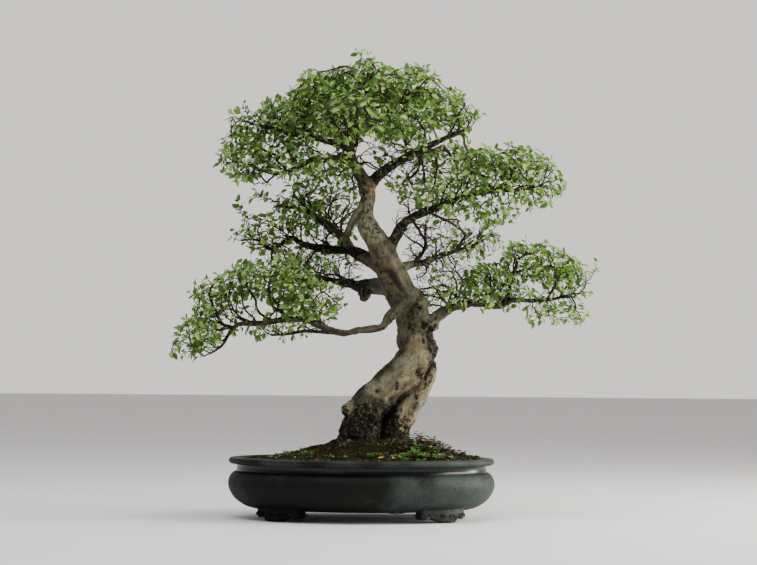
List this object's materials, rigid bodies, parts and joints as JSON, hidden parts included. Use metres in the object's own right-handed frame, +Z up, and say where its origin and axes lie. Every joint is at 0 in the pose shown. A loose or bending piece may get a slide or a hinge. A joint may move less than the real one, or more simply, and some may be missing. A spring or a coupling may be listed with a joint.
{
  "type": "bonsai tree",
  "caption": "Leaning old elm bonsai with layered leafy pads, burls and a fused second stem, in a low oval footed clay pot with moss-ready soil.",
  "frame": {"origin": "under the middle of the whole tree's box, on the plane of the pot's feet; the pot's own middle lies 47 mm to -X and 8 mm to -Y of it", "axes": "+Z up; the tree's front, as shown in the picture, faces -Y, with the long low branch on -X"},
  "size_m": [0.8494, 0.3986, 0.9369],
  "materials": {
    "clay": "satin",
    "soil": "matte",
    "bark": "matte",
    "leaf": "satin",
    "wire": "satin",
    "screen": "matte"
  },
  "bodies": {
    "root": {"pot": "clay", "drain_screen_left": "screen", "drain_screen_right": "screen", "tie_wire": "wire", "soil": "soil", "wood": "bark", "spray_01": "leaf", "spray_02": "leaf", "spray_03": "leaf", "spray_04": "leaf", "spray_05": "leaf", "spray_06": "leaf", "spray_07": "leaf", "spray_08": "leaf", "spray_09": "leaf", "spray_10": "leaf", "spray_11": "leaf", "spray_12": "leaf", "spray_13": "leaf", "spray_14": "leaf", "spray_15": "leaf", "spray_16": "leaf", "spray_17": "leaf", "spray_18": "leaf", "spray_19": "leaf", "spray_20": "leaf", "spray_21": "leaf", "spray_22": "leaf", "spray_23": "leaf", "spray_24": "leaf", "spray_25": "leaf", "spray_26": "leaf", "spray_27": "leaf", "spray_28": "leaf", "spray_29": "leaf", "spray_30": "leaf", "spray_31": "leaf", "spray_32": "leaf", "spray_33": "leaf", "spray_34": "leaf", "spray_35": "leaf", "spray_36": "leaf", "spray_37": "leaf", "spray_38": "leaf", "spray_39": "leaf", "spray_40": "leaf", "spray_41": "leaf", "spray_42": "leaf"}
  },
  "joints": []
}
